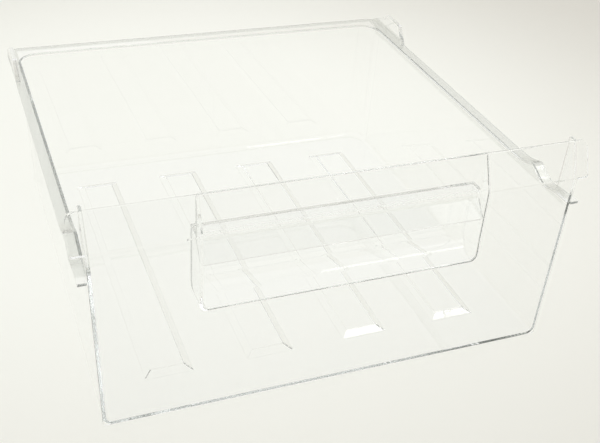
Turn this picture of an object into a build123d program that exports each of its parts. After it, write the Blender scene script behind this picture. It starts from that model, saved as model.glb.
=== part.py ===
from build123d import *
import math
import os

# Freezer drawer: one clear injection moulding, millimetres, +Z up, front facing -Y.
# It is modelled with its front plane at Y = 0 and moved to its own origin at the end.

# Overall
depth = 449.0                # front plane to the edge of the rear flange
height = 210.0               # floor underside to the top edge of the front panel
wall = 2.5                   # side walls, rear wall, floor and flange

# Tub
tub_base_width = 427.0       # outside, at the floor
draft_angle = 1.6            # side and rear walls open upwards by this
tub_corner_radius = 23.0     # outside, upright rear corners, at the floor
floor_radius = 8.0           # outside, floor to side and rear walls

# Runner flange
rim_drop = 56.5              # top of the flange, on its level run, below the panel's top edge
side_reach = 8.7             # flange past the side walls
rear_reach = 15.6            # flange past the rear wall
flange_corner_radius = 14.0
flange_setback = 0.5         # behind the front plane
wave_start = 18.0            # places along Y of the detent wave
wave_dip_place = 44.0
wave_crest_place = 60.0
wave_end = 96.0
wave_dip = 3.2
wave_crest = 4.4

# Stop tab on each side flange, ending at the rear
tab_thickness = 4.5
tab_height = 19.5
tab_length = 88.0
tab_rise = 14.0              # length of its steep front slope
tab_top_length = 34.0
tab_radius = 6.0

# Front panel
panel_wall = 3.0             # measured front to back
panel_margin = 0.8           # panel past the tub's side, at the floor
panel_flare = 5.0            # how far each side opens from the floor to the bend
lean_height = 32.0           # the upper part, which leans back
panel_lean = 13.4            # top edge behind the front plane
panel_base_radius = 3.0
panel_edge_radius = 1.0      # front edges below the bend
rim_edge_radius = panel_wall / 2.5  # both sides of the top edge, within the sheet's thickness
ear_reach = 11.2             # ear past the panel's side, at the bend
ear_radius = 8.0
ear_foot_radius = 3.0

# Corner post: the side wall carried up behind the ear
post_depth = 22.0
post_foot_radius = 7.0

# Handle
handle_length = 255.0
band_drop = 44.0             # top of the sloped band, below the panel's top edge
band_fall = 16.2             # from there to the free lip, which is on the front plane
mouth_height = 43.8          # from the lip to the sill of the finger pocket
pocket_depth = 28.0
pocket_roof_rise = 4.0       # roof above the top of the band
pocket_slope = 3.0           # rise of the pocket floor towards its back
pocket_heel_radius = 12.0
pocket_corner_radius = 6.0
bend_radius = 3.0            # from recess wall to band
lip_radius = panel_wall / 3  # both edges of the lip, within the sheet's thickness
mouth_edge_radius = panel_wall / 3  # front edges of the handle zone

# Floor ribs: raised panels, hollow underneath
rib_count = 4
rib_width = 45.0
rib_rise = 3.0
rib_flank = 7.0              # run of the sloped long sides
rib_ramp = 8.0               # run of the sloped ends
rib_field_margin = 19.5      # from the tub's side to the strip that the ribs share
rib_front = 46.0
rib_rear_clearance = 42.0    # ahead of the rear wall

# Modelling aids
overshoot = 5.0              # how far a cutting form runs past the faces that it cuts
tolerance = 0.01             # for picking out edges and corners by their place

# Worked out from the sizes above
draft = math.tan(math.radians(draft_angle))
rim_height = height - rim_drop
flange_half = tub_base_width / 2 + draft * rim_height + side_reach
tub_base_rear = depth - rear_reach - draft * rim_height
break_height = height - lean_height
lean = panel_lean / lean_height
panel_base_half = tub_base_width / 2 + panel_margin
panel_break_half = panel_base_half + panel_flare
ear_half = panel_break_half + ear_reach
span = ear_half + overshoot  # half length of forms that cross the whole drawer
handle_half = handle_length / 2
band_height = height - band_drop
lip_height = band_height - band_fall
pocket_sill = lip_height - mouth_height
pocket_roof = band_height + pocket_roof_rise
rib_pitch = (tub_base_width - 2 * rib_field_margin) / rib_count


def side_prism(outline, half_length):
    """Extrude an outline drawn in Y and Z by the same length to both sides of X = 0."""
    return extrude(Plane.YZ * outline, amount=half_length, both=True)


def front_prism(outline, near, far):
    """Extrude an outline drawn in X and Z from one Y to another."""
    return extrude(Plane.XZ.offset(-far) * outline, amount=far - near)


def tub_block(inset, floor, top, front):
    """Solid tub form between two heights: drafted walls, round rear corners and round floor edges."""
    floor_half = tub_base_width / 2 + draft * floor - inset
    floor_rear = tub_base_rear + draft * floor - inset
    opening = draft * (top - floor)
    front_view = Polyline((-floor_half, floor), (floor_half, floor), (floor_half + opening, top),
                          (-floor_half - opening, top), close=True)
    side_view = Polyline((front, floor), (floor_rear, floor), (floor_rear + opening, top),
                         (front, top), close=True)
    block = front_prism(make_face(front_view), front, depth) & side_prism(make_face(side_view), span)
    corner_edges = block.faces().sort_by(Axis.Y)[-1].edges().filter_by(Axis.X, reverse=True)
    block = fillet(corner_edges, tub_corner_radius - inset)
    floor_edges = block.faces().sort_by(Axis.Z)[0].edges().sort_by(Axis.Y)[1:]
    return fillet(floor_edges, floor_radius - inset)


def rim_line(level):
    """Line along the flange from front to rear, with the detent wave near the front."""
    wave = Spline(
        (wave_start, level),
        (wave_dip_place, level - wave_dip),
        (wave_crest_place, level + wave_crest),
        (wave_end, level),
        tangents=[(1, 0), (1, 0)],
    )
    lead = Line((-overshoot, level), (wave_start, level))
    run = Line((wave_end, level), (depth + overshoot, level))
    return lead, wave, run


def band_between(lower, upper):
    """Face between two copies of the rim line."""
    low_edges = rim_line(lower)
    high_edges = rim_line(upper)
    front = Line((-overshoot, lower), (-overshoot, upper))
    rear = Line((depth + overshoot, lower), (depth + overshoot, upper))
    return make_face([*low_edges, *high_edges, front, rear])


def flange_plan():
    """Plan outline of the flange, square at the front and round at the rear corners."""
    with BuildSketch() as plan:
        with BuildLine():
            FilletPolyline((-flange_half, flange_setback), (-flange_half, depth),
                           (flange_half, depth), (flange_half, flange_setback),
                           radius=flange_corner_radius)
            Line((flange_half, flange_setback), (-flange_half, flange_setback))
        make_face()
    return plan.sketch


def flange_plate():
    """Waved plate over the whole plan; the tub's hollow leaves only its border."""
    plate = side_prism(band_between(rim_height - wall, rim_height), span)
    return plate & extrude(flange_plan(), amount=height)


def above_rim():
    """Space over the side and rear walls, behind the corner posts."""
    level = rim_height - wall / 2
    space = side_prism(band_between(level, height + overshoot), span)
    foot = level + post_foot_radius
    behind = post_depth + post_foot_radius
    reach = 2 * overshoot
    with BuildSketch() as keep:
        with BuildLine():
            Polyline((-reach, level - reach), (-reach, height + reach),
                     (post_depth, height + reach), (post_depth, foot))
            RadiusArc((post_depth, foot), (behind, level), -post_foot_radius)
            Polyline((behind, level), (behind, level - reach), (-reach, level - reach))
        make_face()
    return space - side_prism(keep.sketch, 2 * span)


def stop_tabs():
    """Upright tab along the outer edge of each side flange, flat on top and sloped at its ends."""
    top = rim_height + tab_height
    root = rim_height - wall / 2
    tab_front = depth - tab_length
    flat_start = tab_front + tab_rise
    flat_end = flat_start + tab_top_length
    with BuildSketch() as outline:
        with BuildLine():
            FilletPolyline((tab_front, root), (flat_start, top), (flat_end, top), (depth, root),
                           radius=tab_radius)
            Line((depth, root), (tab_front, root))
        make_face()
    both = side_prism(outline.sketch, flange_half)
    between = side_prism(outline.sketch, flange_half - tab_thickness)
    return (both - between) & extrude(flange_plan(), amount=height)


def panel_profile():
    """Panel sheet seen from the side: upright below, leaning back above, with a round top edge."""
    face = [(0, 0), (0, break_height), (panel_lean, height)]
    back = [(y + panel_wall, z) for y, z in reversed(face)]
    with BuildSketch() as profile:
        with BuildLine():
            Polyline(*face, *back, close=True)
        make_face()
        fillet(profile.vertices().group_by(Axis.Y)[-1], rim_edge_radius)
    return profile.sketch


def panel_outline():
    """Front outline of the panel: tapered below the bend, with an ear at each side above it."""
    with BuildSketch() as outline:
        with BuildLine():
            Polyline((-panel_base_half, 0), (-panel_break_half, break_height), (-ear_half, break_height),
                     (-ear_half, height), (ear_half, height), (ear_half, break_height),
                     (panel_break_half, break_height), (panel_base_half, 0), close=True)
        make_face()
        fillet(outline.vertices().group_by(Axis.Y)[0], panel_base_radius)
        fillet(outline.vertices().group_by(Axis.Y)[-1], ear_radius)
        feet = [corner for corner in outline.vertices() if abs(abs(corner.X) - ear_half) < tolerance]
        fillet(sorted(feet, key=lambda corner: corner.Y)[:2], ear_foot_radius)
    return outline.sketch


def face_edges(panel, low, high, reach):
    """Edges on the panel's front face, between two heights and within a reach of the middle."""
    found = []
    for edge in panel.edges():
        middle = edge @ 0.5
        face_place = lean * max(0, middle.Z - break_height)
        on_face = abs(middle.Y - face_place) < tolerance
        if on_face and low < middle.Z < high and abs(middle.X) < reach:
            found.append(edge)
    return found


def front_panel():
    """Panel with its ears, rounded front edges and the handle's window."""
    panel = side_prism(panel_profile(), span) & front_prism(panel_outline(), -overshoot, depth)
    panel = fillet(face_edges(panel, -overshoot, break_height - tolerance, span), panel_edge_radius)
    panel = panel - front_prism(handle_outline(0), -overshoot, depth)
    window = face_edges(panel, pocket_sill - tolerance, height - rim_edge_radius, handle_half + tolerance)
    return fillet(window, mouth_edge_radius)


def before_panel():
    """Space in front of the panel's face, carried on above it and below the floor."""
    reach = 2 * overshoot
    corners = [(0, -reach), (0, break_height), (panel_lean + lean * reach, height + reach),
               (-reach, height + reach), (-reach, -reach)]
    return side_prism(make_face(Polyline(*corners, close=True)), span)


def handle_outline(growth):
    """Front outline of the handle zone, round at its lower corners, grown by a wall."""
    half = handle_half + growth
    sill = pocket_sill - growth
    top = height + overshoot
    with BuildSketch() as outline:
        with BuildLine():
            FilletPolyline((-half, top), (-half, sill), (half, sill), (half, top),
                           radius=pocket_corner_radius + growth)
            Line((half, top), (-half, top))
        make_face()
    return outline.sketch


def handle_block():
    """Outer form of the finger pocket and of the recess ends, still solid."""
    skin = panel_wall / 2
    back = pocket_depth + wall
    roof = pocket_roof + wall
    sill = pocket_sill - wall
    recess_back = panel_lean + panel_wall
    top = height - panel_wall
    with BuildSketch() as outline:
        with BuildLine():
            Polyline((skin, sill), (skin, break_height), (skin + lean * (top - break_height), top),
                     (recess_back, top), (recess_back, roof), (back, roof))
            FilletPolyline((back, roof), (back, sill + pocket_slope), (skin, sill),
                           radius=pocket_heel_radius + wall)
        make_face()
    block = side_prism(outline.sketch, handle_half + wall)
    return block & front_prism(handle_outline(wall), -overshoot, depth)


def handle_space():
    """Recess and finger pocket as one space, before the handle sheet is set into it."""
    sheet_middle = panel_lean + panel_wall / 2
    sheet_behind = panel_lean + panel_wall + overshoot
    roof = pocket_roof + wall
    top = height + overshoot
    with BuildSketch() as outline:
        with BuildLine():
            FilletPolyline((pocket_depth, pocket_roof), (pocket_depth, pocket_sill + pocket_slope),
                           (0, pocket_sill), radius=pocket_heel_radius)
            Polyline((0, pocket_sill), (-overshoot, pocket_sill), (-overshoot, top),
                     (sheet_behind, top), (sheet_behind, roof), (sheet_middle, roof),
                     (sheet_middle, pocket_roof), (pocket_depth, pocket_roof))
        make_face()
    space = side_prism(outline.sketch, handle_half)
    return space & front_prism(handle_outline(0), -2 * overshoot, depth)


def handle_sheet():
    """Sheet that hangs from the top edge: upright recess wall, band sloped forward, rounded lip."""
    front = [(panel_lean, height), (panel_lean, band_height), (0, lip_height)]
    back = [(y + panel_wall, z) for y, z in reversed(front)]
    with BuildSketch() as outline:
        with BuildLine():
            Polyline(*front, *back, close=True)
        make_face()
        fillet(outline.vertices().group_by(Axis.Y)[0], lip_radius)
        fillet(outline.vertices().group_by(Axis.Y)[-1], rim_edge_radius)
        bends = [corner for corner in outline.vertices() if abs(corner.Y - band_height) < tolerance]
        fillet(bends, bend_radius)
    return side_prism(outline.sketch, handle_half + wall / 2)


def rib_block(base_z):
    """One floor rib with sloped sides and ends, standing on a level plane."""
    rear = tub_base_rear - wall - rib_rear_clearance
    length = rear - rib_front
    middle = (rear + rib_front) / 2
    foot = Plane((0, middle, base_z)) * Rectangle(rib_width, length)
    crown_plane = Plane((0, middle, base_z + rib_rise))
    crown = crown_plane * Rectangle(rib_width - 2 * rib_flank, length - 2 * rib_ramp)
    return loft([foot, crown])


def rib_places():
    """Plan places of the ribs, spread evenly about the middle."""
    first = -rib_pitch * (rib_count - 1) / 2
    return [Pos(first + rib_pitch * index, 0, 0) for index in range(rib_count)]


tub_outer = tub_block(0, 0, height, panel_wall / 2)
tub_hollow = tub_block(wall, wall, height + overshoot, panel_wall)

drawer = tub_outer - above_rim()
drawer = drawer + flange_plate()
drawer = drawer - tub_hollow
drawer = drawer - before_panel()
drawer = drawer + stop_tabs()
drawer = drawer + front_panel()
drawer = drawer + handle_block()
drawer = drawer - handle_space()
drawer = drawer + handle_sheet()
for place in rib_places():
    drawer = drawer + place * rib_block(wall)
for place in rib_places():
    drawer = drawer - place * rib_block(0)

drawer = Pos(0, -depth / 2, 0) * drawer

os.makedirs("parts", exist_ok=True)
export_step(drawer, "parts/drawer_body.step")
print("drawer_body volume", round(drawer.volume), "mm3, solids", len(drawer.solids()))
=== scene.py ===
import math

import bpy
import numpy as np
from mathutils import Matrix, Vector

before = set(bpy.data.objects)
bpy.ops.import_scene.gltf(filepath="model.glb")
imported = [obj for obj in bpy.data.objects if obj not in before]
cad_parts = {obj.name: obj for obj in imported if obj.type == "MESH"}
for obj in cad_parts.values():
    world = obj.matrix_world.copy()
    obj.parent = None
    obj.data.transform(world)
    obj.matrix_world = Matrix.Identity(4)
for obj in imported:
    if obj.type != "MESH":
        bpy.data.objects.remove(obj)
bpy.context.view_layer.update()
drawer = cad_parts["drawer_body"]
scene = bpy.context.scene
scene.view_settings.view_transform = "Standard"


def addNode(tree, kind, place, **settings):
    node = tree.nodes.new(kind)
    node.location = place
    for name, value in settings.items():
        setattr(node, name, value)
    return node


def setInputs(node, **values):
    for name, value in values.items():
        node.inputs[name.replace("_", " ")].default_value = value


def combine(tree, operation, place, *sockets):
    node = addNode(tree, "ShaderNodeMath", place, operation=operation)
    for slot, socket in enumerate(sockets):
        tree.links.new(socket, node.inputs[slot])
    return node.outputs["Value"]


def grow(tree, socket, pair, place):
    # rises smoothly from 0 at the pair's first value to 1 at its second
    fade = addNode(tree, "ShaderNodeMapRange", place, interpolation_type="SMOOTHSTEP")
    setInputs(fade, From_Min=pair[0], From_Max=pair[1])
    tree.links.new(socket, fade.inputs["Value"])
    return fade.outputs["Result"]


def blend(tree, base, colour, factor, place):
    # lays a colour over a base, which is a colour too or a socket, as strongly as the factor says
    mix = addNode(tree, "ShaderNodeMix", place, data_type="RGBA")
    mix.inputs["B"].default_value = colour
    if isinstance(base, tuple):
        mix.inputs["A"].default_value = base
    else:
        tree.links.new(base, mix.inputs["A"])
    tree.links.new(factor, mix.inputs["Factor"])
    return mix.outputs["Result"]


# A moulding's skin: slow swells left by the flow in the tool, fine rub marks along the slide, the
# rough haze of wear where the flange runs on its ledges with its colour darkened as painted shade, and
# a painted shade on the handle band.
mouldedSkin = {
    "swellScale": 9.0,            # swells per metre
    "swellDetail": 2.0,
    "swellRoughness": 0.45,
    "swellDistortion": 0.6,
    "rubScale": 150.0,            # rub marks per metre across the slide
    "rubStretch": 0.05,           # how far a mark runs along the slide
    "rubDetail": 4.0,
    "rubRoughness": 0.6,
    "rubRange": (0.52, 0.78),     # noise values at which a mark starts and is full
    "rub": 0.5,                   # how strong the marks are where a material doesn't say
    "paleTone": (1.0, 1.0, 1.0, 1.0),
    "coolTone": (0.985, 0.99, 0.99, 1.0),
    # painted shade: the darker tone laid on the flange along with its wear haze
    "wearAndShadeTone": (0.85, 0.86, 0.845, 1.0),
    # places in metres from the drawer's origin: each zone of wear and painted shade grows from the
    # first to the second of a pair
    "wearAndShadeSide": (0.2150, 0.2165),
    "wearAndShadeRear": (0.2165, 0.2180),
    "wearAndShadeFront": (-0.2160, -0.2130),
    "wearAndShadeFoot": (0.1450, 0.1470),
    "wearAndShadeTop": (0.1610, 0.1590),
    # painted shade: a darker tone on the handle band
    "gripShadeTone": (0.95, 0.955, 0.95, 1.0),
    "gripShadeSide": (0.1282, 0.1272),
    "gripShadeFoot": (0.1485, 0.1500),
    "gripShadeTop": (0.1680, 0.1655),
    "gripShadeBack": (-0.2070, -0.2082),
}


def mouldedSkinGroup(look):
    tree = bpy.data.node_groups.new("mouldedSkin", "ShaderNodeTree")
    face = tree.interface
    face.new_socket("Vector", in_out="INPUT", socket_type="NodeSocketVector")
    for name, value in (("Rub", look["rub"]), ("Swell Scale", look["swellScale"])):
        face.new_socket(name, in_out="INPUT", socket_type="NodeSocketFloat").default_value = value
    face.new_socket("Color", in_out="OUTPUT", socket_type="NodeSocketColor")
    face.new_socket("Rub Mask", in_out="OUTPUT", socket_type="NodeSocketFloat")
    face.new_socket("Height", in_out="OUTPUT", socket_type="NodeSocketFloat")
    inside = addNode(tree, "NodeGroupInput", (-900, 0))
    out = addNode(tree, "NodeGroupOutput", (700, 0))
    join = tree.links.new

    swell = addNode(tree, "ShaderNodeTexNoise", (-500, 220))
    setInputs(swell, Detail=look["swellDetail"], Roughness=look["swellRoughness"],
              Distortion=look["swellDistortion"])
    join(inside.outputs["Vector"], swell.inputs["Vector"])
    join(inside.outputs["Swell Scale"], swell.inputs["Scale"])

    stretch = addNode(tree, "ShaderNodeMapping", (-700, -160))
    setInputs(stretch, Scale=(1.0, look["rubStretch"], 1.0))
    rub = addNode(tree, "ShaderNodeTexNoise", (-500, -160))
    setInputs(rub, Scale=look["rubScale"], Detail=look["rubDetail"], Roughness=look["rubRoughness"])
    marks = addNode(tree, "ShaderNodeMapRange", (-280, -160))
    setInputs(marks, From_Min=look["rubRange"][0], From_Max=look["rubRange"][1])
    join(inside.outputs["Vector"], stretch.inputs["Vector"])
    join(stretch.outputs["Vector"], rub.inputs["Vector"])
    join(rub.outputs["Fac"], marks.inputs["Value"])
    amount = combine(tree, "MULTIPLY", (-60, -160), marks.outputs["Result"], inside.outputs["Rub"])

    def zone(mask, limits, row):
        for step, (socket, name) in enumerate(limits):
            part = grow(tree, socket, look[name], (-340 + 180 * step, row - 160))
            mask = combine(tree, "MULTIPLY", (-160 + 180 * step, row), mask, part)
        return mask

    split = addNode(tree, "ShaderNodeSeparateXYZ", (-700, -520))
    join(inside.outputs["Vector"], split.inputs["Vector"])
    along, up = split.outputs["Y"], split.outputs["Z"]
    beside = combine(tree, "ABSOLUTE", (-520, -420), split.outputs["X"])
    edge = combine(tree, "MAXIMUM", (-160, -420),
                   grow(tree, beside, look["wearAndShadeSide"], (-340, -380)),
                   grow(tree, along, look["wearAndShadeRear"], (-340, -520)))
    # the flange's wear haze roughens it and also darkens its colour as painted shade
    wearAndShade = zone(edge, ((up, "wearAndShadeFoot"), (up, "wearAndShadeTop"), (along, "wearAndShadeFront")), -700)
    middle = grow(tree, beside, look["gripShadeSide"], (-520, -1060))
    # painted shade on the handle band
    gripShade = zone(middle, ((up, "gripShadeFoot"), (up, "gripShadeTop"), (along, "gripShadeBack")), -1060)

    tone = blend(tree, look["paleTone"], look["coolTone"], swell.outputs["Fac"], (-60, 260))
    # painted shade: the flange zone is darkened here
    tone = blend(tree, tone, look["wearAndShadeTone"], wearAndShade, (160, 260))
    # painted shade: the handle band is darkened here
    tone = blend(tree, tone, look["gripShadeTone"], gripShade, (380, 260))
    join(tone, out.inputs["Color"])
    join(combine(tree, "MAXIMUM", (260, -160), amount, wearAndShade), out.inputs["Rub Mask"])
    join(swell.outputs["Fac"], out.inputs["Height"])
    return tree


clearPlastic = {
    "refraction": 1.57,                      # of a clear styrene plastic
    "glossiest": 0.015,
    "dullest": 0.14,                         # in the rub marks
    "rub": 0.35,
    "swellDepth": 0.00012,                   # metres
    "edgeTint": (0.79, 0.81, 0.80, 1.0),     # what a long way through the sheet leaves
    "edgeDensity": 2.7,
    "shadeThrough": (0.993, 0.994, 0.994, 1.0),
}


def clearPlasticMaterial(look, skin):
    material = bpy.data.materials.new("clearPlastic")
    material.use_nodes = True
    tree = material.node_tree
    tree.nodes.clear()
    out = addNode(tree, "ShaderNodeOutputMaterial", (900, 0))
    shader = addNode(tree, "ShaderNodeBsdfPrincipled", (300, 100))
    setInputs(shader, IOR=look["refraction"], Transmission_Weight=1.0, Metallic=0.0)
    place = addNode(tree, "ShaderNodeTexCoord", (-700, 0))
    surface = addNode(tree, "ShaderNodeGroup", (-480, 0), node_tree=skin)
    setInputs(surface, Rub=look["rub"])
    gloss = addNode(tree, "ShaderNodeMapRange", (-200, -40))
    setInputs(gloss, To_Min=look["glossiest"], To_Max=look["dullest"])
    bump = addNode(tree, "ShaderNodeBump", (0, -200))
    setInputs(bump, Strength=1.0, Distance=look["swellDepth"])
    depth = addNode(tree, "ShaderNodeVolumeAbsorption", (600, -260))
    setInputs(depth, Color=look["edgeTint"], Density=look["edgeDensity"])
    # light that goes on to the floor passes straight through, a little dimmed at each face
    path = addNode(tree, "ShaderNodeLightPath", (300, 520))
    passing = combine(tree, "MAXIMUM", (500, 420),
                      path.outputs["Is Shadow Ray"], path.outputs["Is Diffuse Ray"])
    straight = addNode(tree, "ShaderNodeBsdfTransparent", (500, -120))
    setInputs(straight, Color=look["shadeThrough"])
    mix = addNode(tree, "ShaderNodeMixShader", (700, 100))

    join = tree.links.new
    join(place.outputs["Object"], surface.inputs["Vector"])
    join(surface.outputs["Color"], shader.inputs["Base Color"])
    join(surface.outputs["Rub Mask"], gloss.inputs["Value"])
    join(gloss.outputs["Result"], shader.inputs["Roughness"])
    join(surface.outputs["Height"], bump.inputs["Height"])
    join(bump.outputs["Normal"], shader.inputs["Normal"])
    join(passing, mix.inputs[0])
    join(shader.outputs["BSDF"], mix.inputs[1])
    join(straight.outputs["BSDF"], mix.inputs[2])
    join(mix.outputs["Shader"], out.inputs["Surface"])
    join(depth.outputs["Volume"], out.inputs["Volume"])
    return material


skinGroup = mouldedSkinGroup(mouldedSkin)
drawer.material_slots[0].material = clearPlasticMaterial(clearPlastic, skinGroup)
print("drawer dressed in clear plastic")


paleFloor = {
    "gap": 0.0004,            # metres below the drawer's feet
    "flatRadius": 1.9,
    "outerRadius": 3.4,
    "rise": 1.5,
    "rings": 60,
    "ringSpread": 0.8,        # below 1 the rings crowd outwards
    "spokes": 128,
    "roughness": 0.9,
    # painted light and shade: the floor colour is brightest at a painted pool of light and darkens
    # outwards
    "middle": (0.945, 0.95, 0.90, 1.0),
    "far": (0.69, 0.67, 0.62, 1.0),
    "backdrop": (0.83, 0.82, 0.78, 1.0),
    "paintedLightCentre": (-0.05, 0.25, 0.0),       # the centre of the painted pool of light, the brightest place
    "paintedShadeReach": (0.25, 1.0),         # metres from there, from the painted light of the middle tone to the painted shade tone
    "backdropReach": (1.1, 2.2),      # and on to the backdrop's
}


def bowlFloor(look):
    # A round floor in polar steps: flat to flatRadius, then the height grows with the cube-smooth
    # share of the way to outerRadius, so the floor runs up into its own backdrop on every side.
    radius = np.linspace(0.0, 1.0, look["rings"]) ** look["ringSpread"] * look["outerRadius"]
    turn = np.linspace(0.0, 2.0 * np.pi, look["spokes"], endpoint=False)
    slopeRun = look["outerRadius"] - look["flatRadius"]
    climb = np.clip((radius - look["flatRadius"]) / slopeRun, 0.0, 1.0)
    height = look["rise"] * climb ** 2 * (3.0 - 2.0 * climb) - look["gap"]
    ringR, ringT = np.meshgrid(radius[1:], turn, indexing="ij")
    ringZ = np.broadcast_to(height[1:, None], ringR.shape)
    points = np.stack([ringR * np.cos(ringT), ringR * np.sin(ringT), ringZ], axis=-1).reshape(-1, 3)
    points = np.vstack([[[0.0, 0.0, -look["gap"]]], points])
    rings, spokes = ringR.shape
    row, col = np.meshgrid(np.arange(rings - 1), np.arange(spokes), indexing="ij")
    here, nextCol = row * spokes + col + 1, row * spokes + (col + 1) % spokes + 1
    quads = np.stack([here, here + spokes, nextCol + spokes, nextCol], axis=-1).reshape(-1, 4)
    rim = np.arange(spokes)
    fan = np.stack([np.zeros(spokes, int), 1 + rim, 1 + (rim + 1) % spokes], axis=-1)
    mesh = bpy.data.meshes.new("paleFloor")
    mesh.from_pydata(points.tolist(), [], fan.tolist() + quads.tolist())
    mesh.shade_smooth()
    floor = bpy.data.objects.new("paleFloor", mesh)
    scene.collection.objects.link(floor)
    return floor


def floorMaterial(look):
    material = bpy.data.materials.new("palePaper")
    material.use_nodes = True
    tree = material.node_tree
    shader = tree.nodes["Principled BSDF"]
    setInputs(shader, Roughness=look["roughness"], Specular_IOR_Level=0.0)
    place = addNode(tree, "ShaderNodeTexCoord", (-900, 0))
    away = addNode(tree, "ShaderNodeVectorMath", (-700, 0), operation="DISTANCE")
    away.inputs[1].default_value = look["paintedLightCentre"]
    tree.links.new(place.outputs["Object"], away.inputs[0])
    distance = away.outputs["Value"]
    # painted shade: the floor darkens away from the painted pool of light
    paintedShade = grow(tree, distance, look["paintedShadeReach"], (-500, 0))
    upwards = grow(tree, distance, look["backdropReach"], (-500, -260))
    paper = blend(tree, look["middle"], look["far"], paintedShade, (-280, 0))
    paper = blend(tree, paper, look["backdrop"], upwards, (-100, 0))
    tree.links.new(paper, shader.inputs["Base Color"])
    return material


floor = bowlFloor(paleFloor)
floor.data.materials.append(floorMaterial(paleFloor))
print("floor laid")


studioLight = {
    "sky": (0.96, 0.96, 0.95, 1.0),
    "skyStrength": 1.035,
    "aim": (0.1, -0.02, 0.0),
    # each soft box: place, width and length in metres, power in watts
    "softBox": ((0.95, -0.014, 1.6), (0.24, 0.8), 2.2),
    "frontBox": ((1.21, -1.45, 1.35), (0.42, 0.5), 0.42),
    # light runs a long way inside the walls, turned back at each face, before it leaves at an edge
    "turns": 200,
    "clearTurns": 32,
}


def lightStudio(look):
    world = bpy.data.worlds.new("paleRoom")
    scene.world = world
    world.use_nodes = True
    sky = world.node_tree.nodes["Background"]
    setInputs(sky, Color=look["sky"], Strength=look["skyStrength"])
    for name in ("softBox", "frontBox"):
        place, size, power = look[name]
        lamp = bpy.data.lights.new(name, "AREA")
        lamp.shape = "RECTANGLE"
        lamp.size, lamp.size_y = size
        lamp.energy = power
        box = bpy.data.objects.new(name, lamp)
        box.location = place
        toAim = Vector(look["aim"]) - Vector(place)
        box.rotation_euler = toAim.to_track_quat("-Z", "Y").to_euler()
        scene.collection.objects.link(box)
    scene.cycles.max_bounces = look["turns"]
    scene.cycles.glossy_bounces = look["turns"]
    scene.cycles.transmission_bounces = look["turns"]
    scene.cycles.transparent_max_bounces = look["clearTurns"]


lightStudio(studioLight)
print("lights set")


photoCamera = {
    "eye": (-0.30025, -0.81169, 0.60165),
    "aim": (0.0, -0.1137, 0.1),
    "rollDeg": 4.376,
    "lensMm": 57.3,
    "sensorMm": 36.0,
    "clip": (0.01, 50.0),
}


def setCamera(look):
    data = bpy.data.cameras.new("photoCamera")
    data.lens = look["lensMm"]
    data.sensor_width = look["sensorMm"]
    data.clip_start, data.clip_end = look["clip"]
    camera = bpy.data.objects.new("photoCamera", data)
    eye = Vector(look["eye"])
    turn = (Vector(look["aim"]) - eye).to_track_quat("-Z", "Y").to_matrix().to_4x4()
    roll = Matrix.Rotation(math.radians(look["rollDeg"]), 4, "Z")
    camera.matrix_world = Matrix.Translation(eye) @ turn @ roll
    scene.collection.objects.link(camera)
    scene.camera = camera


setCamera(photoCamera)
print("camera placed")
